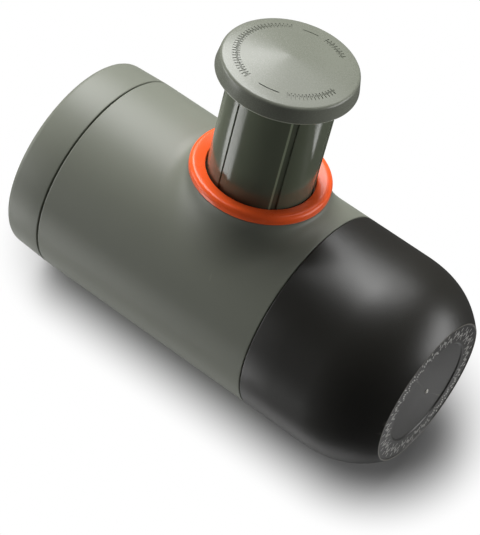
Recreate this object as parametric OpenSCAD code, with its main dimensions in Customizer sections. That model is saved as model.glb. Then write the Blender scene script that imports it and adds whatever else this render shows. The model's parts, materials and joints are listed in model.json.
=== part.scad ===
// Handheld manual espresso maker, standing on its flat base.
// +Z runs along the body, from the screw-in water tank at the bottom to the
// push-on cup at the top. The pump piston sticks out sideways, towards -Y.
// The origin is the centre of the flat base. All sizes are millimetres.

/* [Body] */
// Radius of the body, the tank's foot and the cup
body_r = 31; // [30:0.1:32]
// Height from the flat base to the end of the cup
total_h = 127.3; // [126:0.1:130]
// Height of the seam between the tank's foot and the body
tank_seam_z = 12.2; // [11:0.1:13]
// Height of the seam between the body and the cup
cup_seam_z = 86.3; // [86:0.1:87]
// Width of the dark gap at the tank seam
tank_gap = 0.4; // [0.2:0.1:0.8]
// Width of the fine gap at the cup seam
cup_gap = 0.2; // [0.1:0.1:0.4]
// Wall thickness of the body shell
shell_wall = 2.2; // [2:0.1:2.4]

/* [Piston] */
// Height of the piston's axis above the base
piston_z = 60.1; // [59.5:0.1:60.5]
// Outer radius of the sliding barrel
barrel_r = 15.1; // [14.8:0.1:15.2]
// Wall thickness of the barrel
barrel_wall = 1.7; // [1.5:0.1:1.8]
// Radius of the knob at its widest
knob_r = 19.6; // [19:0.1:20]
// Distance from the body's axis to the knob's underside, pulled out
knob_under = 67.4; // [67:0.1:68]
// Thickness of the knob at its rim
knob_t = 5.4; // [5:0.1:6]
// Travel of the piston
stroke = 31.5; // [28:0.5:31.5]
// Turn of the knob from unlocked to locked, in degrees
lock_turn = 50; // [40:1:52]
// Number of grooves down the barrel
groove_count = 6; // [6:1:6]
// Angle of the first groove about the piston's axis
groove_angle = 48; // [44:1:52]

/* [Port] */
// Outer radius of the coloured ring
ring_r = 20; // [19.8:0.1:20.4]
// Distance from the body's axis to the top of the ring
ring_top = 35.4; // [35:0.1:35.6]
// Radius of the raised boss that carries the ring
boss_r = 19.9; // [19.6:0.1:20.1]
// Distance from the body's axis to the top of the boss
boss_top = 32.9; // [32.7:0.1:33.1]

/* [Pump] */
// Radius of the pump's bore
bore_r = 6.3; // [6.2:0.05:6.4]
// Wall thickness of the pump cylinder
cylinder_wall = 1.7; // [1.5:0.1:1.8]
// Radius of the plunger rod
rod_r = 2.5; // [2.3:0.1:2.6]
// Distance of the valve passage behind the body's axis
valve_y = 17; // [17:0.1:17.4]
// Radius of the two valve balls
ball_r = 2.2; // [2.1:0.05:2.3]

/* [Tank] */
// Inner radius of the tank's vessel
tank_r = 25.4; // [25:0.1:25.5]
// Wall thickness of the vessel
tank_wall = 1.5; // [1.3:0.1:1.5]
// Thickness of the tank's floor
tank_floor = 2.2; // [2:0.1:2.4]
// Height of the vessel's rim above the base
tank_rim_z = 40.4; // [40:0.1:40.4]

/* [Brew head] */
// Inner radius of the coffee basket
basket_r = 20.4; // [20:0.1:20.5]
// Thickness of the basket's steel sheet
basket_t = 0.6; // [0.5:0.1:0.7]
// Height of the top of the threaded collar
collar_top = 93; // [92.5:0.1:93]
// Height of the tip of the spout
spout_z = 109; // [107:0.5:110]
// Radius of the spout's hole
spout_r = 2.2; // [1.8:0.1:2.4]

/* [Cup] */
// Wall thickness of the cup
cup_wall = 2; // [1.8:0.1:2]
// Radius of the flat end of the cup
cup_end_r = 22.4; // [21:0.1:23]
// Height at which the cup's side starts to curve in
dome_z = 106; // [104:0.5:107]

/* [Hidden] */
$fn = 96;

sage = [0.46, 0.48, 0.42];
sage_gloss = [0.25, 0.28, 0.24];
black_plastic = [0.12, 0.11, 0.10];
frame_grey = [0.30, 0.30, 0.30];
orange = [0.95, 0.33, 0.12];
steel = [0.72, 0.73, 0.74];
silicone = [0.82, 0.80, 0.76];
rubber = [0.10, 0.10, 0.10];
clear_plastic = [0.75, 0.78, 0.76];

fit = 0.05;      // radial clearance between pieces that are pressed or screwed together
loose = 0.3;     // radial clearance between pieces that are simply placed
shell_inner = body_r - shell_wall;
shell_z0 = tank_seam_z + tank_gap;
shell_z1 = cup_seam_z - cup_gap;

// pump frame and head collar
frame_r = shell_inner - loose;
frame_wall = 2;
bulkhead_t = 2;
bulkhead_z = 42.2;
frame_top = 76.1;
partition_z = frame_top + fit;
partition_t = 2;
partition_top = partition_z + partition_t;
collar_wall = 2.2;
collar_inner = frame_r - collar_wall;
seal_groove_z = 89.6;
frame_screw_r = 24.3;
frame_screw_angles = [30, 150, 215, 325];
frame_boss_r = 2.6;
frame_boss_h = 12;
screw_shank = 1.1;
screw_head = 1.7;

// port, guide and lock lugs
port_r = 18.6;
port_h0 = 15;
flare_width = 6.6;
flare_depth = 15;
guide_r = 18.4;
guide_clear = 0.15;
guide_h0 = 20;
guide_h1 = 31;
lug_h = 29;
lug_t = 2;
lug_arc = 5;
lug_r = barrel_r - 0.7;
groove_r = barrel_r - 0.9;
groove_arc = 9;
slot_t = 3;
lug_angles = [groove_angle + 120, groove_angle + 180, groove_angle + 240];

// piston
barrel_h0 = 25;
barrel_inner = barrel_r - barrel_wall;
knob_top = knob_under + knob_t;
knob_crown = 2.3;
knob_edge = 0.8;
knob_taper = 0.8;
spigot_r = barrel_inner - 0.1;
spigot_t = 1.4;
spigot_h = 4;
socket_r = 6.6;
socket_h0 = 60.4;
head_r = 4;
head_h0 = 62.3;
head_h1 = 66;
rod_h0 = 24.8;
shoulder_r = 5;
shoulder_t = 1;
stud_r = 2;
seal_h0 = 21.8;
seal_h1 = 24.7;
seal_screw_h0 = 20.5;

// pump cylinder
cylinder_r = bore_r + cylinder_wall;
cylinder_h0 = -12.8;
cylinder_h1 = 26;
flange_t = 1.5;
flange_r = 15.4;
flange_screw_r = 13.4;
flange_screw_head = 1.75;
port_hole_r = 1.5;
spring_r = 10.8;
spring_wire = 0.75;
spring_turns = 10;

// valves
seat_low_z = 49.4;
seat_high_z = 62;
chamber_r = 2.7;
neck_r = 1.8;
neck_z = 58;
inlet_ball_z = seat_low_z + sqrt(ball_r * ball_r - port_hole_r * port_hole_r) + fit;
outlet_ball_z = seat_high_z + sqrt(ball_r * ball_r - neck_r * neck_r) + fit;
plug_z = 70;
plug_t = 2.5;
valve_spring_r = 1.85;
valve_wire = 0.25;
tube_r = 2.2;
tube_bore = 1.4;
tube_z0 = 5;
tube_z1 = 47.9;
block_top = frame_top;
vent_x = 20;
vent_stem = 1.9;
block_z0 = bulkhead_z + bulkhead_t + fit;

// threads: three starts, one ridge every 3 mm
thread_lead = 9;
thread_starts = 3;
thread_arc = 50;
tank_thread_z = 26;
head_thread_z = 88;
half_pitch = thread_lead / thread_starts / 2;

// water tank
tank_outer = tank_r + tank_wall;
foot_r = body_r - 0.6;
foot_edge = 1.8;
rim_gap = 0.1;

// brew head
gasket_r0 = 21.8;
gasket_r1 = 24.6;
gasket_top = 81;
seat_r0 = 19.6;
seat_r1 = 21.4;
seat_top = 79.4;
screen_t = 0.8;
flange_out = 23;
basket_z0 = gasket_top + 0.1;
basket_z1 = 96.8;
basket_floor = 0.8;
skirt_r = 25;
skirt_inner = basket_r + basket_t + 0.4;
skirt_z0 = 82.2;
grip_r = 26.8;
grip_z0 = collar_top + 0.6;
grip_z1 = 100.6;
grip_count = 24;
head_screen_z = 97.5;
head_screen_t = 0.6;

// cup
cup_z0 = cup_seam_z;
cup_inner = body_r - cup_wall;
end_recess_r = 16;
end_recess = 0.35;

// Points of an arc, from angle a0 to a1
function arc(cx, cy, r, a0, a1, n = 8) =
    [for (i = [0:n]) let (a = a0 + (a1 - a0) * i / n) [cx + r * cos(a), cy + r * sin(a)]];

// Points of a cubic curve through p0 and p3
function curve(p0, p1, p2, p3, n = 12) =
    [for (i = [0:n]) let (t = i / n, u = 1 - t)
        u * u * u * p0 + 3 * u * u * t * p1 + 3 * u * t * t * p2 + t * t * t * p3];

// Points of the concave flare at the foot of the boss, out and down
function flare(r, h, dr, dh, n = 6) =
    [for (i = [0:n]) let (a = 90 * i / n) [r + dr * (1 - cos(a)), h - dh * sin(a)]];

// Puts its children on the piston's axis: local Z points out of the body, towards -Y
module on_piston() {
    translate([0, 0, piston_z]) rotate([90, 0, 0]) children();
}

// A ring of rectangular section
module ring(r0, r1, h0, h1) {
    rotate_extrude() translate([r0, h0]) square([r1 - r0, h1 - h0]);
}

// A part of a ring, of the given arc, from the given angle
module ring_part(r0, r1, h0, h1, from, angle) {
    rotate([0, 0, from]) rotate_extrude(angle = angle) translate([r0, h0]) square([r1 - r0, h1 - h0]);
}

// Interrupted thread: short ridges that follow a helix, two to each start
module thread_ridges(root, crest, root_half, crest_half, z) {
    slope = atan(thread_lead / (2 * PI * crest));
    for (i = [0:2 * thread_starts - 1])
        rotate([0, 0, i * 180 / thread_starts])
            translate([0, 0, z + (i % 2) * half_pitch])
                translate([crest, 0, 0]) rotate([slope, 0, 0]) translate([-crest, 0, 0])
                    rotate([0, 0, -thread_arc / 2])
                        rotate_extrude(angle = thread_arc)
                            polygon([[root, -root_half], [crest, -crest_half],
                                     [crest, crest_half], [root, root_half]]);
}

// Round wire wound into a coil along Z, with level first and last turns
module coil(r, wire, h0, h1, turns, per_turn = 20, sides = 8) {
    steps = turns * per_turn;
    span = h1 - h0 - 2 * wire;
    rise = function (i) let (t = i / steps, dead = 0.9 / turns)
        t < dead ? 2 * wire * t / dead :
        t > 1 - dead ? span - 2 * wire * (1 - t) / dead :
        2 * wire + (span - 4 * wire) * (t - dead) / (1 - 2 * dead);
    points = [for (i = [0:steps]) let (a = 360 * i / per_turn, z = h0 + wire + rise(i))
        for (j = [0:sides - 1]) let (b = 360 * j / sides)
            [(r + wire * cos(b)) * cos(a), (r + wire * cos(b)) * sin(a), z + wire * sin(b)]];
    walls = [for (i = [0:steps - 1], j = [0:sides - 1]) let (k = (j + 1) % sides)
        [i * sides + j, i * sides + k, (i + 1) * sides + k, (i + 1) * sides + j]];
    first = [for (j = [sides - 1:-1:0]) j];
    last = [for (j = [0:sides - 1]) steps * sides + j];
    polyhedron(points, concat(walls, [first], [last]), convexity = 10);
}

// Main body

module body_shell() {
    boss_line = flare(boss_r, boss_top - 0.8, flare_width, flare_depth);
    flare_end = boss_line[len(boss_line) - 1];
    color(sage) union() {
        difference() {
            union() {
                rotate_extrude() polygon([[shell_inner - 1, shell_z0 + 1], [shell_inner, shell_z0],
                    [body_r - 0.3, shell_z0], [body_r, shell_z0 + 0.3],
                    [body_r, shell_z1 - 0.2], [body_r - 0.2, shell_z1], [shell_inner - 1, shell_z1]]);
                on_piston() rotate_extrude()
                    polygon(concat([[port_r - 1, boss_top], [boss_r - 0.4, boss_top], [boss_r, boss_top - 0.4]],
                                   boss_line, [[port_r - 1, flare_end[1]]]));
            }
            translate([0, 0, shell_z0 - 1]) cylinder(r = shell_inner, h = shell_z1 - shell_z0 + 2);
            on_piston() translate([0, 0, port_h0]) cylinder(r = port_r, h = 20);
        }
        thread_ridges(shell_inner + 0.5, shell_inner - 1.4, 0.85, 0.4, tank_thread_z - half_pitch);
    }
}

module trim_ring() {
    lip = 1.3;
    inner_r = barrel_r + 0.4;
    inner_top = ring_top - 0.8;
    color(orange) on_piston() rotate_extrude()
        polygon(concat([[inner_r, guide_h1 + fit], [guide_r, guide_h1 + fit], [guide_r, boss_top + fit],
                        [ring_r, boss_top + fit]],
                       arc(ring_r - lip, ring_top - lip, lip, 0, 100, 8),
                       [[inner_r + 0.3, inner_top], [inner_r, inner_top - 0.3]]));
}

module barrel_guide() {
    color(black_plastic) difference() {
        on_piston() union() {
            ring(barrel_r + guide_clear, guide_r, guide_h0, guide_h1);
            for (a = lug_angles)
                ring_part(lug_r, barrel_r + guide_clear + 0.5, lug_h - lug_t / 2, lug_h + lug_t / 2,
                          a - lug_arc / 2, lug_arc);
        }
        translate([0, 0, frame_top - fit]) cylinder(r = frame_r + 0.2, h = 10);
        translate([0, 0, bulkhead_z - 8]) cylinder(r = frame_r + 0.2, h = 8 + bulkhead_t + fit);
    }
}

module pump_frame() {
    color(frame_grey) difference() {
        union() {
            difference() {
                translate([0, 0, bulkhead_z]) cylinder(r = frame_r, h = frame_top - bulkhead_z);
                translate([0, 0, bulkhead_z + bulkhead_t])
                    cylinder(r = frame_r - frame_wall, h = frame_top - bulkhead_z);
            }
            for (a = frame_screw_angles)
                rotate([0, 0, a]) translate([frame_screw_r, 0, frame_top - frame_boss_h])
                    cylinder(r = frame_boss_r, h = frame_boss_h, $fn = 48);
        }
        intersection() {
            on_piston() translate([0, 0, port_h0 + 2]) cylinder(r = guide_r + fit, h = 20);
            translate([0, 0, bulkhead_z + bulkhead_t]) cylinder(r = body_r, h = body_r * 2);
        }
        translate([0, valve_y, bulkhead_z - 1]) cylinder(r = tube_r + fit, h = bulkhead_t + 2, $fn = 48);
        translate([-vent_x, 0, bulkhead_z - 1]) cylinder(r = vent_stem + fit, h = bulkhead_t + 2, $fn = 48);
        for (a = frame_screw_angles)
            rotate([0, 0, a]) translate([frame_screw_r, 0, frame_top - frame_boss_h + 2])
                cylinder(r = screw_shank + fit, h = frame_boss_h, $fn = 32);
    }
}

module head_collar() {
    color(frame_grey) union() {
        difference() {
            union() {
                translate([0, 0, partition_z]) cylinder(r = frame_r, h = partition_t);
                ring(collar_inner, frame_r, partition_z + 1, collar_top);
                ring(seat_r0, seat_r1, partition_z + 1, seat_top);
                translate([0, 0, partition_z + 1]) cylinder(r = 3.4, h = seat_top - partition_z - 1, $fn = 48);
            }
            translate([0, valve_y, partition_z - 1]) cylinder(r = port_hole_r, h = partition_t + 2, $fn = 32);
            translate([0, 0, partition_z + 0.4]) cylinder(r = screw_shank + fit, h = 5, $fn = 32);
            for (a = frame_screw_angles) rotate([0, 0, a]) translate([frame_screw_r, 0, partition_z - 1]) {
                cylinder(r = screw_shank + fit, h = partition_t + 2, $fn = 32);
                translate([0, 0, 1.7]) cylinder(r = screw_head + fit, h = partition_t, $fn = 32);
            }
            ring(frame_r - 1.35, frame_r + 1, seal_groove_z - 1, seal_groove_z + 1);
        }
        thread_ridges(collar_inner + 0.5, collar_inner - 1, 0.8, 0.45, head_thread_z + half_pitch);
    }
}

module frame_screws() {
    head_t = 1.2;
    color(steel) for (a = frame_screw_angles)
        rotate([0, 0, a]) translate([frame_screw_r, 0, 0]) difference() {
            union() {
                translate([0, 0, partition_top - head_t]) cylinder(r = screw_head, h = head_t, $fn = 32);
                translate([0, 0, frame_top - 8])
                    cylinder(r = screw_shank, h = partition_top - frame_top + 7.5, $fn = 32);
            }
            translate([0, 0, partition_top - 0.7]) cylinder(r = 0.8, h = 2, $fn = 6);
        }
}

module cup_seal() {
    color(silicone) rotate_extrude() translate([frame_r - 0.5, seal_groove_z]) circle(r = 0.85, $fn = 32);
}

// Pump

module pump_cylinder() {
    floor_h = cylinder_h0 + flange_t;
    color(steel) on_piston() difference() {
        rotate_extrude() polygon([[port_hole_r, cylinder_h0], [flange_r, cylinder_h0], [flange_r, floor_h],
                                  [cylinder_r, floor_h], [cylinder_r, cylinder_h1], [bore_r, cylinder_h1],
                                  [bore_r, floor_h], [port_hole_r, floor_h]]);
        for (s = [-1, 1]) translate([s * flange_screw_r, 0, cylinder_h0 - 1])
            cylinder(r = screw_shank + fit, h = 5, $fn = 32);
    }
}

module rod_guide() {
    color(frame_grey) on_piston() difference() {
        ring(rod_r + 0.08, cylinder_r, cylinder_h1 + fit, cylinder_h1 + 2.5);
        for (a = [0:90:270]) rotate([0, 0, a]) translate([4.6, 0, cylinder_h1 - 1])
            cylinder(r = 0.9, h = 5, $fn = 24);
    }
}

module cylinder_screws() {
    head_t = 1.5;
    flange_top = cylinder_h0 + flange_t;
    color(steel) on_piston() for (s = [-1, 1]) translate([s * flange_screw_r, 0, 0]) difference() {
        union() {
            translate([0, 0, flange_top]) cylinder(r = flange_screw_head, h = head_t, $fn = 32);
            translate([0, 0, flange_top - 5]) cylinder(r = screw_shank, h = 6, $fn = 32);
        }
        translate([0, 0, flange_top + 0.6]) cylinder(r = 0.9, h = 2, $fn = 6);
    }
}

module valve_block() {
    front = -cylinder_h0 + fit;
    depth = 9.5;
    wing_h = 14;
    color(frame_grey) difference() {
        union() {
            translate([-5.5, front, block_z0]) cube([11, depth, block_top - block_z0]);
            translate([-16, front, piston_z - wing_h / 2]) cube([32, 4, wing_h]);
        }
        translate([0, valve_y, 0]) {
            translate([0, 0, block_z0 - 1]) cylinder(r = tube_r + fit, h = 48 - block_z0 + 1, $fn = 48);
            translate([0, 0, 47]) cylinder(r = port_hole_r, h = 4, $fn = 48);
            translate([0, 0, seat_low_z]) cylinder(r = chamber_r, h = neck_z - seat_low_z, $fn = 48);
            translate([0, 0, neck_z - 1]) cylinder(r = neck_r, h = seat_high_z - neck_z + 2, $fn = 48);
            translate([0, 0, seat_high_z]) cylinder(r = chamber_r, h = block_top - seat_high_z + 1, $fn = 48);
            translate([0, 0, block_top - 1]) cylinder(r = 3.4, h = 2, $fn = 48);
        }
        translate([0, front - 1, piston_z]) rotate([-90, 0, 0])
            cylinder(r = port_hole_r, h = valve_y - front + 1, $fn = 48);
        for (s = [-1, 1]) translate([s * flange_screw_r, front - 1, piston_z]) rotate([-90, 0, 0])
            cylinder(r = screw_shank + fit, h = 4.5, $fn = 32);
    }
}

module passage_seal() {
    color(silicone) translate([0, valve_y, block_top - 0.5])
        rotate_extrude() translate([2.75, 0]) circle(r = 0.5, $fn = 24);
}

module inlet_ball() {
    color(steel) translate([0, valve_y, inlet_ball_z]) sphere(r = ball_r, $fn = 48);
}

module inlet_spring() {
    color(steel) translate([0, valve_y, 0])
        coil(valve_spring_r, valve_wire, inlet_ball_z + ball_r - 0.55, neck_z - fit, 5, 14, 6);
}

module outlet_ball() {
    color(steel) translate([0, valve_y, outlet_ball_z]) sphere(r = ball_r, $fn = 48);
}

module outlet_spring() {
    color(steel) translate([0, valve_y, 0])
        coil(valve_spring_r, valve_wire, outlet_ball_z + ball_r - 0.55, plug_z - fit, 5, 14, 6);
}

module outlet_plug() {
    color(frame_grey) translate([0, valve_y, 0]) ring(port_hole_r, chamber_r - fit, plug_z, plug_z + plug_t);
}

module intake_tube() {
    color(clear_plastic) translate([0, valve_y, 0]) ring(tube_bore, tube_r, tube_z0, tube_z1);
}

module intake_filter() {
    slots = 8;
    color(frame_grey) translate([0, valve_y, 0]) difference() {
        rotate_extrude() polygon([[0, 3.2], [3.4, 3.2], [4, 3.8], [4, 9], [2.9, 10.5],
                                  [tube_r + fit, 10.5], [tube_r + fit, tube_z0 - fit], [0, tube_z0 - fit]]);
        for (a = [0:360 / slots:359]) rotate([0, 0, a]) translate([2, -0.4, 3.9]) cube([3, 0.8, 0.9]);
        translate([0, 0, 4.2]) cylinder(r = 2.6, h = 0.8, $fn = 32);
    }
}

module vent_valve() {
    deck = bulkhead_z + bulkhead_t + fit;
    color(silicone) translate([-vent_x, 0, 0]) difference() {
        rotate_extrude() polygon([[0, bulkhead_z - 3.4], [0.9, bulkhead_z - 3.4], [vent_stem, bulkhead_z - 1.5],
                                  [vent_stem, deck], [3.3, deck], [3.3, deck + 0.9], [0, deck + 0.9]]);
        translate([0, 0, bulkhead_z - 1]) cylinder(r = 0.8, h = 6, $fn = 24);
    }
}

module return_spring() {
    color(steel) on_piston()
        coil(spring_r, spring_wire, cylinder_h0 + flange_t + fit, knob_under - fit, spring_turns);
}

// Piston

module plunger_rod() {
    color(steel) on_piston() rotate_extrude()
        polygon([[0, seal_screw_h0 + 1.25], [stud_r, seal_screw_h0 + 1.25], [stud_r, rod_h0],
                 [shoulder_r, rod_h0], [shoulder_r, rod_h0 + shoulder_t], [rod_r, rod_h0 + shoulder_t],
                 [rod_r, head_h0], [head_r, head_h0], [head_r, head_h1 - 0.3], [head_r - 0.3, head_h1],
                 [0, head_h1]]);
}

module plunger_seal() {
    seal_r = bore_r - 0.06;
    waist = seal_r - 0.9;
    mid = (seal_h0 + seal_h1) / 2;
    color(rubber) on_piston() rotate_extrude()
        polygon([[stud_r + fit, seal_h0], [seal_r - 0.4, seal_h0], [seal_r, seal_h0 + 0.5],
                 [waist, mid], [seal_r, seal_h1 - 0.5], [seal_r - 0.4, seal_h1], [stud_r + fit, seal_h1]]);
}

module seal_screw() {
    color(steel) on_piston() difference() {
        rotate_extrude() polygon([[0, seal_screw_h0], [4.5, seal_screw_h0], [4.8, seal_screw_h0 + 0.3],
                                  [4.8, seal_screw_h0 + 1.2], [0, seal_screw_h0 + 1.2]]);
        translate([0, 0, seal_screw_h0 - 1]) cylinder(r = 1.4, h = 1.7, $fn = 6);
    }
}

module piston_barrel() {
    groove_top = knob_under - 1;
    groove_low = lug_h;
    pressed_slot = lug_h + stroke;
    slack = (groove_arc - lug_arc) / 2;
    slot_arc = lock_turn + lug_arc + 1.8 * slack;
    color(sage_gloss) on_piston() difference() {
        ring(barrel_inner, barrel_r, barrel_h0, knob_under - fit);
        for (i = [0:groove_count - 1])
            ring_part(groove_r, barrel_r + 1, groove_low, groove_top,
                      groove_angle + i * 360 / groove_count - groove_arc / 2, groove_arc);
        for (a = lug_angles, h = [lug_h, pressed_slot])
            ring_part(groove_r - 0.1, barrel_r + 1, h - slot_t / 2, h + slot_t / 2,
                      a - lock_turn - lug_arc / 2 - slack, slot_arc);
    }
}

module piston_knob() {
    top_r = knob_r - knob_taper;
    color(sage) on_piston() rotate_extrude()
        polygon(concat([[0, head_h1 + 0.2], [head_r + 0.08, head_h1 + 0.2], [head_r + 0.08, head_h0 - 0.05],
                        [5.05, head_h0 - 0.05], [5.05, socket_h0], [socket_r, socket_h0],
                        [socket_r, knob_under], [spigot_r - spigot_t, knob_under],
                        [spigot_r - spigot_t, knob_under - spigot_h], [spigot_r, knob_under - spigot_h],
                        [spigot_r, knob_under]],
                       arc(knob_r - 0.5, knob_under + 0.5, 0.5, -90, 10, 4),
                       arc(top_r - knob_edge, knob_top - knob_edge, knob_edge, 10, 83, 6),
                       [[0.8, knob_top + knob_crown], [0, knob_top + knob_crown]]));
}

module rod_retainer() {
    color(steel) on_piston() ring(rod_r + 0.1, 5, socket_h0 + fit, head_h0 - 0.1);
}

// Water tank

module water_tank() {
    color(sage) union() {
        rotate_extrude()
            polygon(concat([[0, 0]], arc(foot_r - foot_edge, foot_edge, foot_edge, -90, 0, 6),
                           [[body_r, tank_seam_z - 0.3], [body_r - 0.3, tank_seam_z],
                            [tank_outer, tank_seam_z], [tank_outer, tank_rim_z], [tank_r, tank_rim_z],
                            [tank_r, tank_floor + 2]],
                           arc(tank_r - 2, tank_floor + 2, 2, 0, -90, 6), [[0, tank_floor]]));
        thread_ridges(tank_outer - 0.5, shell_inner - 0.5, 0.9, 0.45, tank_thread_z);
    }
}

module tank_seal() {
    color(silicone) ring(tank_r - 0.4, tank_outer + 0.1, tank_rim_z + rim_gap, bulkhead_z - rim_gap);
}

// Brew head

// A disc with rings of small round holes, and a hole in the middle
module pierced_disc(r, z, t, rings, hole_r, middle_r) {
    translate([0, 0, z]) difference() {
        cylinder(r = r, h = t);
        translate([0, 0, -1]) cylinder(r = middle_r, h = t + 2, $fn = 32);
        for (k = rings, i = [0:k[1] - 1]) rotate([0, 0, i * 360 / k[1]])
            translate([k[0], 0, -1]) cylinder(r = hole_r, h = t + 2, $fn = 16);
    }
}

module shower_screen() {
    color(steel) pierced_disc(seat_r1 - 0.1, seat_top + fit, screen_t, [[6, 8], [11.5, 14], [17, 20]], 0.7,
                              screw_shank + 0.1);
}

module shower_screw() {
    top = seat_top + fit + screen_t;
    color(steel) difference() {
        union() {
            rotate_extrude() polygon([[0, top + fit], [2.6, top + fit], [2.6, top + 0.7], [2.2, top + 1.1],
                                      [0, top + 1.1]]);
            translate([0, 0, partition_z + 0.7]) cylinder(r = screw_shank, h = top - partition_z, $fn = 32);
        }
        translate([-3, -0.35, top + 0.6]) cube([6, 0.7, 1]);
    }
}

module brew_gasket() {
    color(silicone) ring(gasket_r0, gasket_r1, partition_top + fit, gasket_top);
}

module filter_basket() {
    color(steel) union() {
        ring(basket_r, flange_out, basket_z0, basket_z0 + 1);
        ring(basket_r, basket_r + basket_t, basket_z0, basket_z1);
        pierced_disc(basket_r + 0.3, basket_z1 - basket_floor, basket_floor,
                     [[4.5, 6], [9, 12], [13.5, 18], [17.5, 24]], 0.45, 0.45);
    }
}

module outlet_head() {
    color(black_plastic) union() {
        difference() {
            rotate_extrude()
                polygon(concat([[skirt_inner, skirt_z0], [skirt_r, skirt_z0], [skirt_r, grip_z0],
                                [grip_r, grip_z0]],
                               arc(grip_r - 1.2, grip_z1 - 1.2, 1.2, 0, 90, 6),
                               [[7.5, grip_z1], [6, grip_z1 + 1.5], [4.2, spout_z - 0.3], [3.9, spout_z],
                                [spout_r, spout_z], [spout_r, grip_z1 - 1.6],
                                [skirt_inner - 1, grip_z1 - 1.9],
                                [skirt_inner - 1, head_screen_z + head_screen_t + fit],
                                [skirt_inner, head_screen_z + head_screen_t + fit]]));
            for (i = [0:grip_count - 1]) rotate([0, 0, i * 360 / grip_count])
                translate([grip_r + 0.5, 0, grip_z0 - 1]) cylinder(r = 1.3, h = 10, $fn = 24);
        }
        thread_ridges(skirt_r - 0.5, collar_inner - 0.3, 0.8, 0.45, head_thread_z);
    }
}

module head_screen() {
    color(steel) pierced_disc(skirt_inner - 0.1, head_screen_z, head_screen_t,
                              [[5, 8], [10, 16], [15, 24]], 0.45, 0.45);
}

// Cup

module cup() {
    rise = total_h - dome_z;
    outer = curve([body_r, dome_z], [body_r, dome_z + 0.39 * rise],
                  [body_r - 2.1, dome_z + 0.71 * rise], [cup_end_r + 0.25, total_h - 0.25], 14);
    inner_top = total_h - 2.3;
    inner_end = cup_end_r - 1.6;
    inner = curve([inner_end, inner_top], [body_r - 4.1, dome_z + 0.65 * rise],
                  [cup_inner, dome_z + 0.36 * rise], [cup_inner, dome_z], 14);
    color(black_plastic) rotate_extrude()
        polygon(concat([[cup_inner + 0.3, cup_z0], [body_r - 0.2, cup_z0], [body_r, cup_z0 + 0.2]],
                       outer,
                       [[cup_end_r, total_h], [end_recess_r + 0.3, total_h],
                        [end_recess_r, total_h - end_recess], [0.6, total_h - end_recess],
                        [0.3, total_h - 0.05], [0, total_h - 0.05], [0, inner_top]],
                       inner, [[cup_inner, cup_z0 + 0.3]]));
}

body_shell();
trim_ring();
barrel_guide();
pump_frame();
head_collar();
frame_screws();
pump_cylinder();
rod_guide();
cylinder_screws();
valve_block();
passage_seal();
inlet_ball();
inlet_spring();
outlet_ball();
outlet_spring();
outlet_plug();
intake_tube();
intake_filter();
vent_valve();
shower_screen();
shower_screw();
brew_gasket();
cup_seal();
return_spring();
plunger_rod();
plunger_seal();
seal_screw();
piston_barrel();
piston_knob();
rod_retainer();
water_tank();
tank_seal();
filter_basket();
outlet_head();
head_screen();
cup();
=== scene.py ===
import json
import math
import bmesh
import bpy
from mathutils import Matrix, Vector


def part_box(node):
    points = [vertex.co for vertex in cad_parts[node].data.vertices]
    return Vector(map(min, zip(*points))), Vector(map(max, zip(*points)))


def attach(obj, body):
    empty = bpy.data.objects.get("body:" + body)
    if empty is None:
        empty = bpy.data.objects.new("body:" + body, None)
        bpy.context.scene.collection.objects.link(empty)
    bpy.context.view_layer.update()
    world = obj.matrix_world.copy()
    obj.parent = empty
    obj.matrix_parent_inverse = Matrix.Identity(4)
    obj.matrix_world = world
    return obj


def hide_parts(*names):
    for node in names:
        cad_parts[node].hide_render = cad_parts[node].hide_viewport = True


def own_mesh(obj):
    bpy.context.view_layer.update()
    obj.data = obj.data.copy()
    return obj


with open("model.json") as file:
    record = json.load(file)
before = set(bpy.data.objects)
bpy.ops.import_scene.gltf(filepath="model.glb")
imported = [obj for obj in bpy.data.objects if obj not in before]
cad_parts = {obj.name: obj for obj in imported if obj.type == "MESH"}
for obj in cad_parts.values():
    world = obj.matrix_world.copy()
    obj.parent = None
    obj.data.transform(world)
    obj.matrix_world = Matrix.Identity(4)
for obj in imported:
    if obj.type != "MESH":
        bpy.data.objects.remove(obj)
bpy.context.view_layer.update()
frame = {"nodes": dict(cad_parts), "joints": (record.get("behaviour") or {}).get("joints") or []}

# Water tank
# The foot of the maker and the vessel behind it are one injection moulding in sage plastic, satin outside.
# It screws up into the body on six short ridges, so only the foot band shows below the seam.


def reach(node):
    """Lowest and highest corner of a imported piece, in millimetres."""
    return [corner * 1000 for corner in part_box(node)]


def turned(outline, spokes=160, start=0.0):
    """A skin turned about Z. Each point of the outline is (radius, height) or (radius, height, rounding)."""
    skin = bmesh.new()
    corners = [skin.verts.new((point[0], 0, point[1])) for point in outline]
    runs = list(zip(corners, corners[1:]))
    if outline[0][0] > 0:
        runs.append((corners[-1], corners[0]))
    for here, there in runs:
        skin.edges.new((here, there))
    for corner, point in zip(corners, outline):
        if len(point) == 3:
            bmesh.ops.bevel(skin, geom=[corner], offset=point[2], offset_type="OFFSET", segments=5,
                            profile=0.5, affect="VERTICES", material=-1)
    bmesh.ops.rotate(skin, verts=skin.verts[:], cent=(0, 0, 0), matrix=Matrix.Rotation(start, 3, "Z"))
    bmesh.ops.spin(skin, geom=skin.verts[:] + skin.edges[:], cent=(0, 0, 0), axis=(0, 0, 1), angle=math.tau,
                   steps=spokes, use_merge=True, use_duplicate=False)
    bmesh.ops.remove_doubles(skin, verts=skin.verts[:], dist=0.0005)
    bmesh.ops.recalc_face_normals(skin, faces=skin.faces[:])
    return skin


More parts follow.
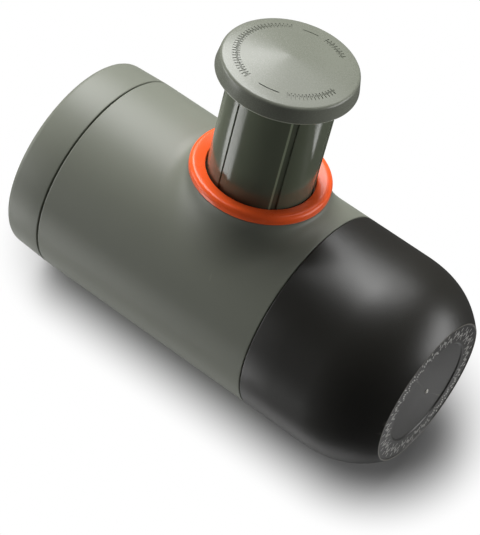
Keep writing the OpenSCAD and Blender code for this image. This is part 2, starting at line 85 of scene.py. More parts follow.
def curve(start, first_pull, second_pull, end, steps):
    """Points of a smooth curve from start to end, both included."""
    points = []
    for step in range(steps + 1):
        t = step / steps
        weights = ((1 - t) ** 3, 3 * (1 - t) ** 2 * t, 3 * (1 - t) * t * t, t ** 3)
        points.append(tuple(sum(w * p[axis] for w, p in zip(weights, (start, first_pull, second_pull, end)))
                            for axis in (0, 1)))
    return points


thread_lead = 9
ridge_count = 6
half_pitch = 1.5
ridge_foot, ridge_top = 0.85, 0.42


def add_thread(skin, root, crest, height):
    """Six short ridges of a three-start thread, with ends that run out into the wall."""
    steps = 20
    arc = math.radians(50)
    for number in range(ridge_count):
        turn = number * math.tau / ridge_count - arc / 2
        middle = height + number % 2 * half_pitch
        low = middle - thread_lead * arc / math.tau / 2
        section = [(root, -ridge_foot), (crest, -ridge_top), (crest, ridge_top), (root, ridge_foot)]
        corners = [skin.verts.new((radius * math.cos(turn), radius * math.sin(turn), low + rise))
                   for radius, rise in section]
        first = skin.faces.new(corners)
        spun = bmesh.ops.spin(skin, geom=[first] + first.edges[:] + corners, cent=(0, 0, 0), axis=(0, 0, 1),
                              dvec=(0, 0, thread_lead * arc / math.tau / steps), angle=arc, steps=steps,
                              use_duplicate=False)
        ends = corners + [v for v in spun["geom_last"] if isinstance(v, bmesh.types.BMVert)]
        for corner in ends:
            corner.co.xy *= root / corner.co.xy.length
    bmesh.ops.recalc_face_normals(skin, faces=skin.faces[:])


def piece(name, skin, finish, body, replaced, sharp=35):
    """A finished piece from a skin in millimetres: smooth shaded, with its hard edges kept."""
    bmesh.ops.scale(skin, verts=skin.verts[:], vec=(0.001, 0.001, 0.001))
    mesh = bpy.data.meshes.new(name)
    skin.to_mesh(mesh)
    skin.free()
    mesh.shade_smooth()
    mesh.set_sharp_from_angle(angle=math.radians(sharp))
    mesh.materials.append(finish)
    made = bpy.data.objects.new(name, mesh)
    bpy.context.scene.collection.objects.link(made)
    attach(made, body)
    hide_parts(*replaced)
    return made


class Value:
    """One number that a shader node gives out. Sums on it add the nodes that work them out."""

    def __init__(self, finish, socket):
        self.finish, self.socket = finish, socket

    def worked(self, operation, first, second):
        return self.finish.node("Math", {"operation": operation}, {0: first, 1: second})

    def __add__(self, other):
        return self.worked("ADD", self, other)

    __radd__ = __add__

    def __sub__(self, other):
        return self.worked("SUBTRACT", self, other)

    def __rsub__(self, other):
        return self.worked("SUBTRACT", other, self)

    def __mul__(self, other):
        return self.worked("MULTIPLY", self, other)

    __rmul__ = __mul__


def paint(red, green, blue):
    """A colour as it is seen, 0 to 255, made linear for the shaders."""
    return tuple(((part / 255 + 0.055) / 1.055) ** 2.4 for part in (red, green, blue)) + (1,)


def shade(colour, strength):
    """The same colour, darker or lighter."""
    return tuple(part * strength for part in colour[:3]) + (1,)


class Finish:
    """A material and its nodes. What is the same all over is set straight on the shader's sockets."""

    def __init__(self, name, constants):
        self.material = bpy.data.materials.new(name)
        self.material.use_nodes = True
        self.nodes = self.material.node_tree.nodes
        self.links = self.material.node_tree.links
        self.shader = self.nodes["Principled BSDF"]
        for socket, value in constants.items():
            self.shader.inputs[socket].default_value = value
        self.place = self.node("TexCoord", output="Object")

    def feed(self, socket, value):
        if isinstance(value, Value):
            self.links.new(value.socket, socket)
        else:
            socket.default_value = value

    def node(self, kind, settings=None, sockets=None, output=0):
        made = self.nodes.new("ShaderNode" + kind)
        for name, value in (settings or {}).items():
            setattr(made, name, value)
        for name, value in (sockets or {}).items():
            self.feed(made.inputs[name], value)
        return Value(self, made.outputs[output])

    def noise(self, scale, detail=2.0, place=None):
        """Soft noise from 0 to 1. The scale is in grains per metre."""
        return self.node("TexNoise", {}, {"Vector": place or self.place, "Scale": scale, "Detail": detail})

    def between(self, factor, low, high):
        """A colour between two others."""
        return self.node("Mix", {"data_type": "RGBA"}, {0: factor, 6: low, 7: high}, output=2)

    def worn_edge(self, low, high):
        """1 on sharp outer edges, and 0 on flats and hollows."""
        point = self.node("NewGeometry", output="Pointiness")
        return self.node("MapRange", {}, {"Value": point, "From Min": low, "From Max": high})

    def surface(self, colour, roughness, height, depth):
        """Colour and roughness over the surface, and a bump of that depth in metres."""
        self.feed(self.shader.inputs["Base Color"], colour)
        self.feed(self.shader.inputs["Roughness"], roughness)
        bump = self.node("Bump", {}, {"Height": height, "Strength": 1.0, "Distance": depth})
        self.feed(self.shader.inputs["Normal"], bump)
        return self.material


def moulded(name, colour, roughness, depth, edge_wear_and_glint=1.18, constants=None):
    """Injection-moulded plastic: a fine spark-eroded grain, faint flow mottle and sharp edges made paler by
    the
    edge factor: rubbed wear where it is small, and mostly painted highlights where it is large.
    """
    finish = Finish(name, {"Specular IOR Level": 0.35, **(constants or {})})
    mottle = finish.noise(55, 3)
    grain = finish.noise(3800, 2)
    orange_peel = finish.noise(420, 1)
    edge = finish.worn_edge(0.53, 0.62) * finish.noise(700, 4)
    base = finish.between(mottle, shade(colour, 0.94), shade(colour, 1.06))
    base = finish.between(grain, base, shade(colour, 1.0))
    base = finish.between(edge, base, shade(colour, edge_wear_and_glint))
    rough = roughness + (mottle - 0.5) * 0.06 + (grain - 0.5) * 0.10 - edge * 0.08
    return finish.surface(base, rough, grain + orange_peel * 0.6, depth)


sage = paint(117, 120, 109)
sage_satin = moulded("sage_satin_plastic", sage, 0.46, 0.000012)

tank_high = reach("water_tank")[1]
body_r = tank_high.x
shell_low, shell_high = reach("body_shell")
seam_z = shell_low.z - 0.4
tank_rim = tank_high.z
vessel_r = 26.9
vessel_wall = 1.5
foot_r = body_r - 0.6
tank_floor = 2.2
base_recess, recess_r, stand_r = 0.35, 24.6, 25.2
tank_thread_z = 26

tank_skin = turned([
    (0, base_recess), (recess_r, base_recess), (stand_r, 0, 0.2), (foot_r, 0, 1.7), (body_r, seam_z, 0.35),
    (vessel_r + 0.9, seam_z), (vessel_r, seam_z + 0.9), (vessel_r, tank_rim, 0.3),
    (vessel_r - vessel_wall, tank_rim, 0.3), (vessel_r - vessel_wall, tank_floor, 2.0), (0, tank_floor)])
add_thread(tank_skin, vessel_r - 0.3, body_r - 2.75, tank_thread_z)
piece("tank_moulding", tank_skin, sage_satin, "tank", ["water_tank"])


# Tank seal and vent valve
# A flat silicone gasket closes the tank's rim, and a small duckbill in the bulkhead lets air in as the water
# leaves. Both are compression moulded in milky silicone with a dull, slightly dusty skin.


def silicone_rubber(name, colour, roughness):
    finish = Finish(name, {"Subsurface Weight": 0.15, "Subsurface Scale": 0.002, "Specular IOR Level": 0.35})
    cloud = finish.noise(120, 3)
    dust = finish.noise(2600, 3)
    base = finish.between(cloud, shade(colour, 0.93), shade(colour, 1.04))
    base = finish.between(finish.worn_edge(0.53, 0.63), base, shade(colour, 1.12))
    return finish.surface(base, roughness + (dust - 0.5) * 0.18, dust + cloud * 0.4, 0.00001)


def refinish(material, slot, *nodes):
    """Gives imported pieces, whose shape stays as it is, their finish."""
    for node in nodes:
        kept = frame["nodes"][node]
        kept.data.materials.clear()
        kept.data.materials.append(material)


milky_silicone = silicone_rubber("milky_silicone", paint(221, 217, 207), 0.62)
refinish(milky_silicone, "silicone", "tank_seal", "vent_valve", "passage_seal", "brew_gasket", "cup_seal")


# Intake tube and filter
# The pump draws its water through a milky extruded tube that reaches down to the tank's floor.
# A slotted foot in grey plastic is pressed over its end.

tube_finish = Finish("milky_tube", {"Transmission Weight": 0.25, "IOR": 1.46})
tube_haze = tube_finish.noise(90, 2)
tube_lines = tube_finish.node("TexWave", {"bands_direction": "X"},
                              {"Vector": tube_finish.place, "Scale": 900.0, "Distortion": 1.5})
refinish(tube_finish.surface(tube_finish.between(tube_haze, paint(205, 208, 203), paint(226, 228, 222)),
                             0.28 + tube_haze * 0.12, tube_lines, 0.000006), "clear_plastic", "intake_tube")

frame_plastic = moulded("grey_frame_plastic", paint(93, 93, 90), 0.52, 0.000014, 1.25)
refinish(frame_plastic, "frame_plastic", "intake_filter", "pump_frame", "head_collar", "rod_guide",
         "valve_block", "outlet_plug")


# Body shell
# One sage moulding, 2.2 mm thick, with a finely sparked satin skin. The wall swells up like a small volcano
# round the port that the piston comes out of. Inside its lower end are the ridges that hold the tank.

piston_z = (reach("piston_knob")[0].z + reach("piston_knob")[1].z) / 2
boss_r = 19.9
boss_top = 32.9
shell_wall = 2.2
half_girth = math.pi * body_r
spokes_along, spokes_up = 130, 48
wall_rows, flare_rows, field_rows = 2, 9, 26
rim_strip = 0.5
flare_least, flare_more, flare_share = 4.8, 2.2, 0.9
row_easing = 1.4
shell_thread_z = 24.5
shell_spokes = 2 * (spokes_along + spokes_up)
shell_rows = wall_rows + flare_rows + field_rows + 1


def rim_place(spoke, inset):
    """Where a spoke meets the edge of the unrolled wall, as (distance round, height above the piston)."""
    top, bottom = shell_high.z - piston_z - inset, shell_low.z - piston_z + inset
    corners = [(-half_girth, top), (half_girth, top), (half_girth, bottom), (-half_girth, bottom),
               (-half_girth, top)]
    for (x0, y0), (x1, y1), count in zip(corners, corners[1:], (spokes_along, spokes_up) * 2):
        if spoke <= count:
            return x0 + (x1 - x0) * spoke / count, y0 + (y1 - y0) * spoke / count
        spoke -= count


def shell_place(spoke, row):
    """Outer surface of the shell, by rows that run out from the mouth of the port."""
    spoke %= shell_spokes
    edge = Vector(rim_place(spoke, rim_strip))
    angle = math.atan2(edge.y, edge.x)
    across, up = math.cos(angle), math.sin(angle)
    climb = boss_top - math.sqrt(body_r ** 2 - (boss_r * across) ** 2)
    flare_out = flare_least + flare_more * across ** 2
    flare_up = flare_share * climb
    if row <= wall_rows + flare_rows:
        swing = max(0, row - wall_rows) / flare_rows * math.pi / 2
        distance = boss_r + flare_out * (1 - math.cos(swing))
        lift = flare_up * (1 - math.sin(swing)) + (climb - flare_up) * max(0, wall_rows - row) / wall_rows
        x, z = distance * across, distance * up
        return Vector((x, -math.sqrt(body_r ** 2 - x ** 2) - lift, piston_z + z))
    x = (boss_r + flare_out) * across
    flare_end = Vector((body_r * math.asin(x / body_r), (boss_r + flare_out) * up))
    if row < shell_rows:
        share = (row - wall_rows - flare_rows) / field_rows
        girth, height = flare_end.lerp(edge, share ** row_easing)
    else:
        girth, height = rim_place(spoke, 0)
    turn = girth / body_r
    return Vector((body_r * math.sin(turn), -body_r * math.cos(turn), piston_z + height))


shell_skin = bmesh.new()
bmesh.ops.create_grid(shell_skin, x_segments=shell_spokes, y_segments=shell_rows, size=0.5)
for corner in shell_skin.verts:
    across_grid, up_grid = corner.co.x + 0.5, corner.co.y + 0.5
    corner.co = shell_place(round(across_grid * shell_spokes), round(up_grid * shell_rows))
bmesh.ops.remove_doubles(shell_skin, verts=shell_skin.verts[:], dist=0.002)
slivers = [face for face in shell_skin.faces if face.calc_area() < 0.001]
bmesh.ops.delete(shell_skin, geom=slivers, context="FACES")
bmesh.ops.recalc_face_normals(shell_skin, faces=shell_skin.faces[:])
shell_skin.faces.ensure_lookup_table()
outward = sum(face.normal.x * face.calc_center_median().x + face.normal.y * face.calc_center_median().y
              for face in shell_skin.faces)
if outward < 0:
    bmesh.ops.reverse_faces(shell_skin, faces=shell_skin.faces[:])
bmesh.ops.solidify(shell_skin, geom=shell_skin.faces[:], thickness=shell_wall)
rims = [edge for edge in shell_skin.edges if edge.is_manifold and edge.calc_face_angle() > math.radians(60)]
bmesh.ops.bevel(shell_skin, geom=rims, offset=0.3, offset_type="OFFSET", segments=3, profile=0.5,
                affect="EDGES", material=-1)
add_thread(shell_skin, body_r - shell_wall + 0.3, body_r - shell_wall - 1.4, shell_thread_z)
piece("shell_moulding", shell_skin, sage_satin, "main_body", ["body_shell"], 50)


# Pump cylinder, valves and screws
# The pump is a drawn stainless cylinder bolted to the valve block, with two check balls on light springs.
# Screws and balls are bright stainless steel, and the screen's plate keeps the fine lines of its rolling.


def stainless(name, colour, roughness, stretch, constants=None):
    """Stainless steel with fine lines left by rolling or turning, and light handling marks."""
    finish = Finish(name, {"Metallic": 1.0, **(constants or {})})
    along = finish.node("Mapping", {}, {"Vector": finish.place, "Scale": stretch})
    lines = finish.noise(900, 4, along)
    smudge = finish.noise(70, 3)
    base = finish.between(lines, shade(colour, 0.88), shade(colour, 1.06))
    base = finish.between(smudge, base, shade(colour, 0.95))
    rough = roughness + (lines - 0.5) * 0.16 + (smudge - 0.5) * 0.12
    return finish.surface(base, rough, lines, 0.000004)


steel = paint(205, 205, 202)
turned_steel = stainless("turned_stainless_steel", steel, 0.28, (1.0, 9.0, 1.0))
plate_steel = stainless("rolled_stainless_plate", steel, 0.32, (0.25, 3.0, 3.0))
refinish(turned_steel, "steel", "pump_cylinder", "cylinder_screws", "frame_screws", "inlet_ball",
         "outlet_ball", "shower_screw", "plunger_rod", "seal_screw", "rod_retainer")
refinish(plate_steel, "steel", "shower_screen", "head_screen", "filter_basket")


# Springs
# Round stainless wire wound cold. The return spring sits round the pump and pushes the piston out, and the
# two small ones hold the check balls on their seats.

drawn_wire = stainless("drawn_spring_wire", paint(190, 190, 188), 0.3, (2.0, 2.0, 2.0))
piston_place = Matrix.Translation((0, 0, piston_z)) @ Matrix.Rotation(math.radians(90), 4, "X")


def wound(radius, wire, low, high, turns, per_turn=36):
    """A coil along Z between two heights, with capped ends."""
    skin = bmesh.new()
    first_end = Matrix.Translation((radius, 0, low + wire)) @ Matrix.Rotation(math.pi / 2, 4, "X")
    bmesh.ops.create_circle(skin, cap_ends=True, segments=12, radius=wire, matrix=first_end)
    steps = turns * per_turn
    bmesh.ops.spin(skin, geom=skin.verts[:] + skin.edges[:] + skin.faces[:], cent=(0, 0, 0), axis=(0, 0, 1),
                   dvec=(0, 0, (high - low - 2 * wire) / steps), angle=math.tau * turns, steps=steps,
                   use_duplicate=False)
    bmesh.ops.recalc_face_normals(skin, faces=skin.faces[:])
    return skin


coil_low, coil_high = reach("return_spring")
return_wire = 0.75
return_turns = 10
return_skin = wound(coil_high.x - return_wire, return_wire, -coil_high.y, -coil_low.y, return_turns)
bmesh.ops.transform(return_skin, matrix=piston_place, verts=return_skin.verts[:])
return_coil = piece("return_coil", return_skin, drawn_wire, "main_body", ["return_spring"])
stroke = next(joint for joint in frame["joints"] if joint["name"] == "piston_press")["range_m"][1] * 1000
coil_length = coil_high.y - coil_low.y
(coil_length - stroke) / coil_length
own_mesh(return_coil)

fine_wire = 0.25
small_turns = 5
for valve in ("inlet", "outlet"):
    low, high = reach(valve + "_spring")
    small_skin = wound((high.x - low.x) / 2 - fine_wire, fine_wire, low.z, high.z, small_turns, 24)
    bmesh.ops.translate(small_skin, verts=small_skin.verts[:], vec=(0, (low.y + high.y) / 2, 0))
    small_coil = piece(valve + "_coil", small_skin, drawn_wire, "main_body", [valve + "_spring"])
    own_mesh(small_coil)


# Barrel guide, plunger seal
# A black acetal sleeve in the port steers the barrel, and its three lugs run in the grooves. The plunger's
# double-lipped seal is black nitrile rubber, shiny only where it wipes the cylinder.

charcoal = paint(33, 32, 28)
guide_black = moulded("black_acetal", paint(34, 34, 33), 0.42, 0.000008, 1.3)
refinish(guide_black, "black_plastic", "barrel_guide")
refinish(silicone_rubber("black_nitrile_rubber", paint(38, 38, 38), 0.5), "black_rubber", "plunger_seal")


# Trim ring
# A glossy orange ring clipped over the guide: rounded outside, with a crest and a polished slope down to the
# barrel. The colour is moulded right through, so only hairline scratches show on it.

orange = paint(252, 98, 44)
gloss_orange = Finish("polished_orange_plastic", {"Specular IOR Level": 0.25, "Coat Weight": 0.06,
                                                   "Coat Roughness": 0.2})
flow = gloss_orange.noise(90, 2)
scratch_place = gloss_orange.node("Mapping", {}, {"Vector": gloss_orange.place, "Scale": (4.0, 0.4, 1.0)})
hairline = gloss_orange.noise(1500, 2, scratch_place)
ring_colour = gloss_orange.between(flow, shade(orange, 0.9), shade(orange, 1.05))
ring_colour = gloss_orange.between(gloss_orange.worn_edge(0.54, 0.66) * 0.5, ring_colour, shade(orange, 1.2))
ring_gloss = 0.25 + flow * 0.08 + (hairline - 0.5) * 0.06
orange_polish = gloss_orange.surface(ring_colour, ring_gloss, hairline + flow, 0.000003)

ring_low, ring_high = reach("trim_ring")
ring_r = ring_high.x
ring_top = -ring_low.y
ring_bore, sleeve_r, crest_r = 15.5, 18.4, 18.5
ring_skin = turned([
    (ring_bore, -ring_high.y), (sleeve_r, -ring_high.y), (sleeve_r, boss_top + 0.05),
    (ring_r, boss_top + 0.05, 0.2), (ring_r, ring_top - 0.25, 1.0), (crest_r, ring_top + 0.1, 0.7),
    (ring_bore, ring_top - 0.75, 0.3)], 240)
bmesh.ops.transform(ring_skin, matrix=piston_place, verts=ring_skin.verts[:])
piece("ring_moulding", ring_skin, orange_polish, "main_body", ["trim_ring"])


# Piston barrel
# The sliding barrel is polished dark green-grey plastic with six grooves: three shallow, and three deep for
# the lugs. Pairs of cross slots meet the deep ones where the knob turns to lock. The cut edges are broken.

barrel_low, barrel_high = reach("piston_barrel")
barrel_r = barrel_high.x
barrel_foot, barrel_end = -barrel_high.y, -barrel_low.y
barrel_bore = barrel_r - 1.7
deep, shallow = 0.9, 0.3
groove_half = 4
groove_angles = [48.5 + 60 * number for number in range(6)]
lug_grooves = (2, 3, 4)
lug_z = 29
slot_heights = (lug_z, lug_z + stroke)
slot_half = 1.5
groove_rows = (lug_z, barrel_end - 0.35)
slot_reach = 55
knob_lift = 0.6

slot_rows = [height + side for height in slot_heights for side in (-slot_half, slot_half)]
barrel_rows = sorted(slot_rows + list(groove_rows))
barrel_skin = turned([(barrel_bore, barrel_foot, 0.2), (barrel_r, barrel_foot, 0.3)]
                     + [(barrel_r, height) for height in barrel_rows]
                     + [(barrel_r, barrel_end + knob_lift), (barrel_bore, barrel_end + knob_lift)],
                     360, math.radians(0.5))


def cut_depth(face):
    """How deep a groove or a lock slot sinks this face of the outer wall."""
    middle = face.calc_center_median()
    if middle.xy.length < barrel_r - 0.1:
        return 0
    angle = math.degrees(math.atan2(middle.y, middle.x)) % 360
    for number, centre in enumerate(groove_angles):
        lugged = number in lug_grooves
        in_groove = abs((angle - centre + 180) % 360 - 180) < groove_half
        if in_groove and groove_rows[0] < middle.z < groove_rows[1]:
            return deep if lugged else shallow
        slotted = lugged and any(abs(middle.z - height) < slot_half for height in slot_heights)
        if slotted and 0 < (centre + groove_half - angle) % 360 < slot_reach + groove_half:
            return deep
    return 0


for depth in (shallow, deep):
    cuts = [face for face in barrel_skin.faces if cut_depth(face) == depth]
    sunk = bmesh.ops.extrude_face_region(barrel_skin, geom=cuts)
    for corner in sunk["geom"]:
        if isinstance(corner, bmesh.types.BMVert):
            corner.co.xy *= (barrel_r - depth) / barrel_r
    bmesh.ops.delete(barrel_skin, geom=[face for face in cuts if face.is_valid], context="FACES")
lips = [edge for edge in barrel_skin.edges if edge.is_manifold and edge.calc_face_angle() > math.radians(60)
        and min(corner.co.xy.length for corner in edge.verts) > barrel_r - 0.05
        and edge.verts[0].co.z > barrel_foot + 1 and edge.verts[0].co.z < barrel_end - 0.1]
bmesh.ops.bevel(barrel_skin, geom=lips, offset=0.14, offset_type="OFFSET", segments=2, profile=0.5,
                affect="EDGES", material=-1)
bmesh.ops.transform(barrel_skin, matrix=piston_place, verts=barrel_skin.verts[:])

barrel_green = paint(94, 100, 84)
gloss_barrel = Finish("polished_green_grey_plastic", {"Specular IOR Level": 0.35})
ripple = gloss_barrel.noise(45, 1)
fine_place = gloss_barrel.node("Mapping", {}, {"Vector": gloss_barrel.place, "Scale": (3.0, 0.25, 3.0)})
draw_lines = gloss_barrel.noise(800, 3, fine_place)
barrel_colour = gloss_barrel.between(ripple, shade(barrel_green, 0.92), shade(barrel_green, 1.08))
# The groove lips are painted far paler than the plastic: a painted highlight, the glint that the bevelled
# lips catch.
painted_lip_glint = gloss_barrel.worn_edge(0.53, 0.6)
barrel_colour = gloss_barrel.between(painted_lip_glint, barrel_colour, shade(barrel_green, 2.8))
barrel_gloss = 0.14 + (draw_lines - 0.5) * 0.06 + ripple * 0.04
barrel_polish = gloss_barrel.surface(barrel_colour, barrel_gloss, ripple, 0.00002)
piece("barrel_moulding", barrel_skin, barrel_polish, "piston", ["piston_barrel"], 30)


# Piston knob
# The knob is a sage moulding glued into the barrel's end: a wide disc with a crisp rim, a side that widens
# downward and a shallow cone on top. Two dashes and arcs of fine ticks, as on a dial, are pressed into it.

knob_low, knob_high = reach("piston_knob")
knob_r = knob_high.x
knob_under = barrel_end + knob_lift + 0.05
knob_crown = -knob_low.y
knob_rim = knob_crown - 2.3
rim_r = knob_r - 0.8
mark_rows = (13.7, 14.3, 14.6, 14.9, 15.8)
mark_depth = 0.2
plug_r, plug_inner, plug_depth = 13.3, 11.9, 4
stem_r, socket_r, screw_r = 6.6, 5.05, 4.08
stem_low, socket_top, screw_top = 60.4, 62.25, 66.2

knob_sage = Finish("smooth_sage_plastic", {"Specular IOR Level": 0.35})
knob_mottle = knob_sage.noise(55, 3)
knob_grain = knob_sage.noise(3800, 2)
apart = knob_sage.node("SeparateXYZ", {}, {0: knob_sage.place}, output="Y")
# A pale line painted round the knob's lower edge is a painted highlight: the glint that the edge's bevel
# catches.
lower_edge = knob_sage.node("MapRange", {}, {"Value": apart, "From Min": -(knob_under + 0.4) / 1000,
                                             "From Max": -(knob_under + 0.3) / 1000})
painted_edge_glint = knob_sage.worn_edge(0.51, 0.54) * lower_edge
knob_colour = knob_sage.between(knob_mottle, shade(sage, 0.94), shade(sage, 1.06))
knob_colour = knob_sage.between(painted_edge_glint, knob_colour, shade(sage, 3.4))
knob_gloss = 0.27 + (knob_mottle - 0.5) * 0.06 + (knob_grain - 0.5) * 0.1
knob_satin = knob_sage.surface(knob_colour, knob_gloss, knob_grain, 0.000005)


def crown_height(radius):
    return knob_crown - (knob_crown - knob_rim) * radius / rim_r


knob_skin = turned(
    [(0, knob_crown - 0.1), (0.8, crown_height(0.8) - 0.04)]
    + [(radius, crown_height(radius)) for radius in (1.8, 8) + mark_rows]
    + [(rim_r, knob_rim, 0.8), (knob_r, knob_under, 0.4), (plug_r, knob_under),
       (plug_r, knob_under - plug_depth, 0.3), (plug_inner, knob_under - plug_depth, 0.3),
       (plug_inner, knob_under), (stem_r, knob_under), (stem_r, stem_low, 0.3), (socket_r, stem_low),
       (socket_r, socket_top), (screw_r, socket_top), (screw_r, screw_top), (0, screw_top)], 360)


def marked(face):
    """Is this face of the cone part of a dash or a tick?"""
    middle = face.calc_center_median()
    radius = middle.xy.length
    if middle.z < knob_under + 2 or not mark_rows[0] < radius < mark_rows[-1]:
        return False
    angle = math.floor(math.degrees(math.atan2(middle.y, middle.x)))
    row = sum(radius > edge for edge in mark_rows) - 1
    if 0 <= angle < 24 or -174 <= angle < -156:
        return row == 1
    if -144 <= angle < -14 or 32 <= angle < 88 or 146 <= angle < 178:
        return angle % 4 == 0 or angle % 4 == 2 and row in (1, 2)
    return False


pressed = [face for face in knob_skin.faces if marked(face)]
stamped = bmesh.ops.extrude_face_region(knob_skin, geom=pressed)
bmesh.ops.translate(knob_skin, vec=(0, 0, -mark_depth),
                    verts=[corner for corner in stamped["geom"] if isinstance(corner, bmesh.types.BMVert)])
bmesh.ops.delete(knob_skin, geom=[face for face in pressed if face.is_valid], context="FACES")
bmesh.ops.transform(knob_skin, matrix=piston_place, verts=knob_skin.verts[:])
piece("knob_moulding", knob_skin, knob_satin, "piston", ["piston_knob"], 40)


# Brew head
# The screw-on brew head is black satin plastic, with finger flutes round its grip and a short spout.
# It holds the basket up against the gasket, and the cup hides it until it is pulled off.

# The edge factor of 5 paints pale highlights along the black parts' sharp edges, over light real wear.
black_satin = moulded("black_satin_plastic", charcoal, 0.39, 0.000016, 5.0, {"Specular IOR Level": 0.55})
refinish(black_satin, "black_plastic", "outlet_head")


# Cup
# The cup is a black satin moulding that pushes over the brew head and ends the maker in a soft dome. Its flat
# end has a fine pale rim, one band of ticks in pale ink, and a shallow disc with the mould's shiny nib. The
# rim's paleness and the nib's near-white colour are painted highlights.

cup_low, cup_high = reach("cup")
cup_top = cup_high.z
cup_foot = cup_low.z
cup_wall = 2
dome_z = 106
side_row = 96
dome_rise = cup_top - dome_z
end_r = 22.4
band_z = cup_top - 0.2
print_rows = (16.9, 17.5, 18.1, 18.7, 19.3, 19.9, 20.5, 21.1)
disc_r = 16
disc_z = cup_top - 0.6

dome = curve((body_r, dome_z), (body_r, dome_z + 0.39 * dome_rise), (body_r - 2.1, dome_z + 0.71 * dome_rise),
             (end_r + 0.25, cup_top - 0.3), 26)
hollow = curve((end_r - 1.6, cup_top - 2.3), (body_r - 4.1, dome_z + 0.65 * dome_rise),
               (body_r - cup_wall, dome_z + 0.36 * dome_rise), (body_r - cup_wall, dome_z), 20)
cup_skin = turned(
    [(0, cup_top - 2.3)] + hollow + [(body_r - cup_wall, cup_foot + 0.3), (body_r - cup_wall + 0.3, cup_foot),
                                     (body_r, cup_foot, 0.25), (body_r, side_row)] + dome
    + [(end_r, cup_top - 0.05, 0.04), (end_r - 0.45, cup_top - 0.05, 0.04), (end_r - 0.6, band_z)]
    + [(radius, band_z) for radius in reversed(print_rows)]
    + [(disc_r, band_z, 0.1), (disc_r - 0.4, disc_z, 0.1), (0, disc_z)], 360)


piece("cup_moulding", cup_skin, black_satin, "cup", ["cup"])


def unprinted(face):
    """Is this face of the band a gap between the ticks?"""
    middle = face.calc_center_median()
    row = sum(middle.xy.length > edge for edge in print_rows) - 1
    tick, gap = divmod(math.floor(math.degrees(math.atan2(middle.y, middle.x))), 2)
    return gap == 1 or (tick * tick + row * 13) % 11 < 7


print_skin = turned([(radius, band_z + 0.01) for radius in print_rows] + [(print_rows[3], band_z - 0.1)], 360)
bare = [face for face in print_skin.faces if face.normal.z < 0.9 or unprinted(face)]
bmesh.ops.delete(print_skin, geom=bare, context="FACES")
inked = bmesh.ops.extrude_face_region(print_skin, geom=print_skin.faces[:])
bmesh.ops.translate(print_skin, vec=(0, 0, 0.05),
                    verts=[corner for corner in inked["geom"] if isinstance(corner, bmesh.types.BMVert)])
bmesh.ops.recalc_face_normals(print_skin, faces=print_skin.faces[:])
pale_ink = moulded("pale_pad_print", paint(172, 171, 167), 0.5, 0.000004, 1.3)
piece("cup_print", print_skin, pale_ink, "cup", ["cup"])

# A thin pale ring over the end's outer rim is a painted highlight along its rounded edge.
rim_inner, rim_outer = end_r - 0.36, end_r - 0.08
rim_skin = turned([(rim_inner, cup_top - 0.1), (rim_outer, cup_top - 0.1), (rim_outer, cup_top, 0.02),
                   (rim_inner, cup_top, 0.02)], 240)
painted_rim_highlight = moulded("worn_rim_plastic", paint(112, 109, 101), 0.3, 0.000004, 1.6)
piece("cup_rim", rim_skin, painted_rim_highlight, "cup", ["cup"])

nib_r = 0.7
nib_top = disc_z + 0.5
nib_side = curve((nib_r, disc_z), (nib_r, disc_z + 0.3), (0.3, nib_top), (0, nib_top), 8)
nib_skin = turned([(0, disc_z - 0.1), (nib_r, disc_z - 0.1)] + nib_side, 32)
# The nib is painted near-white: a painted highlight on its tip.
painted_nib_highlight = moulded("nib_highlight", paint(205, 202, 194), 0.2, 0.000004)
piece("cup_nib", nib_skin, painted_nib_highlight, "cup", ["cup"])


# Studio
# The maker lies on its side on a white table, as in the photograph, under plain soft lights. The table keeps
# its shadow and is clear from behind, so that the back can be looked at. Near the body the table is grey and
# only turns plain white with distance, so the darkening round the body is partly its real shadow and partly
# painted shadow. Away from the body it is clear to reflections too, so that the low strips under it show on
# the barrel.

table_finish = Finish("white_table", {"Base Color": (0.42, 0.42, 0.42, 1), "Roughness": 0.9,
                                      "Specular IOR Level": 0.1})
table_half = 0.047
table_drop = body_r / 1000 + 0.00005
across_table = table_finish.node("VectorMath", {"operation": "ABSOLUTE"}, {0: table_finish.place})
past_ends = table_finish.node("VectorMath", {"operation": "SUBTRACT"},
                              {0: across_table, 1: (table_half, 0, table_drop)})
past_ends = table_finish.node("VectorMath", {"operation": "MAXIMUM"}, {0: past_ends, 1: (0, 0, 0)})
from_body = table_finish.node("VectorMath", {"operation": "LENGTH"}, {0: past_ends}, output="Value")
# Painted shadow: the table stays grey near the body and fades to plain white with distance from it, for the
# camera and, a little further out, for reflections.
clear, far_off = (table_finish.node("MapRange", {"interpolation_type": "SMOOTHSTEP"},
                                    {"Value": from_body, "From Min": near, "From Max": far})
                  for near, far in ((0.0172, 0.04), (0.02, 0.045)))
light_path = table_finish.nodes.new("ShaderNodeLightPath")
camera_ray, glossy_ray, clear_ray = (Value(table_finish, light_path.outputs[ray])
                                     for ray in ("Is Camera Ray", "Is Glossy Ray", "Is Transmission Ray"))
behind = table_finish.node("NewGeometry", output="Backfacing")
plain_white = table_finish.node("Emission", {}, {"Color": (1, 1, 1, 1), "Strength": 1.0})
see_through = table_finish.node("BsdfTransparent")
white_surface = Value(table_finish, table_finish.shader.outputs[0])
front = table_finish.node("MixShader", {}, {0: camera_ray * clear + clear_ray * far_off,
                                           1: white_surface, 2: plain_white})
shown = table_finish.node("MixShader", {}, {0: camera_ray * behind + glossy_ray * far_off,
                                           1: front, 2: see_through})
table_finish.feed(table_finish.nodes["Material Output"].inputs["Surface"], shown)


def towards(azimuth, elevation):
    """Unit vector by the angle round from -Y towards +X, and the angle above the plane across the body."""
    turn, climb = math.radians(azimuth), math.radians(elevation)
    return Vector((math.sin(turn) * math.cos(climb), -math.cos(turn) * math.cos(climb), math.sin(climb)))


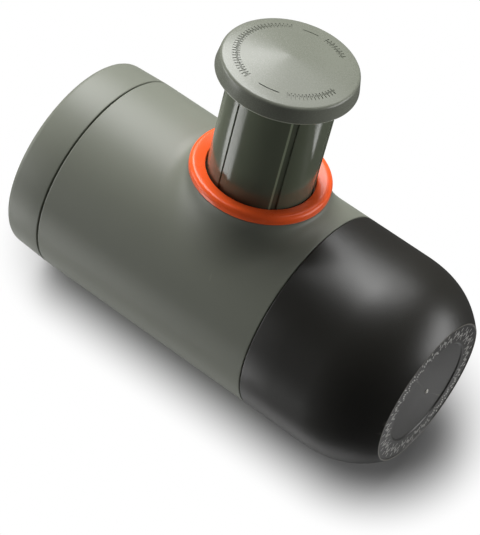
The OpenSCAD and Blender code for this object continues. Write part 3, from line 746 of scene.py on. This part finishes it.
skyward = towards(18, 0)
middle_of_body = Vector((0, 0, cup_top / 2000))
along_body = Vector((0, 0, 1))
table_turn = Matrix((along_body, skyward.cross(along_body), skyward)).transposed()
table_place = Matrix.Translation(middle_of_body) @ table_turn.to_4x4()
table_skin = bmesh.new()
bmesh.ops.create_circle(table_skin, cap_ends=True, segments=96, radius=0.8)
bmesh.ops.translate(table_skin, verts=table_skin.verts[:], vec=(0, 0, -table_drop))
table_mesh = bpy.data.meshes.new("table")
table_skin.to_mesh(table_mesh)
table_skin.free()
table_mesh.materials.append(table_finish.material)
table = bpy.data.objects.new("table", table_mesh)
table.matrix_world = table_place
table.visible_shadow = False
bpy.context.scene.collection.objects.link(table)

world = bpy.data.worlds.new("soft_daylight")
world.use_nodes = True
sky, sky_links = world.node_tree.nodes, world.node_tree.links
sky["Background"].inputs["Color"].default_value = (1, 1, 1, 1)
sky["Background"].inputs["Strength"].default_value = 0.06
white_room = sky.new("ShaderNodeBackground")
white_room.inputs["Strength"].default_value = 1.0
white_room.inputs["Color"].default_value = (1, 1, 1, 1)
sky_path = sky.new("ShaderNodeLightPath")
sky_mix = sky.new("ShaderNodeMixShader")
seen_directly = sky.new("ShaderNodeMath")
seen_directly.operation = "MAXIMUM"
sky_links.new(sky_path.outputs["Is Camera Ray"], seen_directly.inputs[0])
sky_links.new(sky_path.outputs["Is Transmission Ray"], seen_directly.inputs[1])
sky_links.new(seen_directly.outputs[0], sky_mix.inputs[0])
sky_links.new(sky["Background"].outputs[0], sky_mix.inputs[1])
sky_links.new(white_room.outputs[0], sky_mix.inputs[2])
sky_links.new(sky_mix.outputs[0], sky["World Output"].inputs["Surface"])
bpy.context.scene.world = world


def softbox(name, round_table, above_table, width, height, power):
    """A soft light 1 m from the body, by its angle round the table from the tank's end and above it."""
    turn, climb = math.radians(round_table), math.radians(above_table)
    level = math.cos(climb)
    out = table_turn @ Vector((-math.cos(turn) * level, -math.sin(turn) * level, math.sin(climb)))
    side = skyward.cross(out).normalized()
    lamp = bpy.data.lights.new(name, "AREA")
    lamp.shape = "RECTANGLE"
    lamp.size, lamp.size_y, lamp.energy = width, height, power
    stand = bpy.data.objects.new(name, lamp)
    facing = Matrix((side, out.cross(side), out)).transposed()
    stand.matrix_world = Matrix.Translation(middle_of_body + out) @ facing.to_4x4()
    bpy.context.scene.collection.objects.link(stand)


softbox("key_softbox", 315, 44, 0.5, 0.85, 14.8)
softbox("far_softbox", 275, 45, 0.5, 0.6, 2.8)
softbox("cup_end_strip", 216, 9, 0.7, 0.4, 5.4)
softbox("near_strip", 31, 8, 0.8, 0.4, 4.7)
softbox("table_glow", 0, -80, 0.9, 0.9, 2.5)
softbox("low_strip", 46, -30, 0.5, 0.35, 2.9)
softbox("low_end_strip", 200, -51, 0.25, 0.3, 1.0)

view_azimuth, view_elevation, view_roll = 44.41, 19.77, 124.41
view_distance = 0.6453
view_target = Vector((0.00098, 0.00019, 0.06212))
camera_data = bpy.data.cameras.new("camera")
camera_data.sensor_width = 36
camera_data.lens = 154.0
camera_data.clip_start = 0.01
camera = bpy.data.objects.new("camera", camera_data)
view_from = towards(view_azimuth, view_elevation)
camera.matrix_world = (Matrix.Translation(view_target + view_from * view_distance)
                       @ view_from.to_track_quat("Z", "Y").to_matrix().to_4x4()
                       @ Matrix.Rotation(math.radians(view_roll), 4, "Z"))
bpy.context.scene.collection.objects.link(camera)
bpy.context.scene.camera = camera
bpy.context.scene.view_settings.view_transform = "Standard"
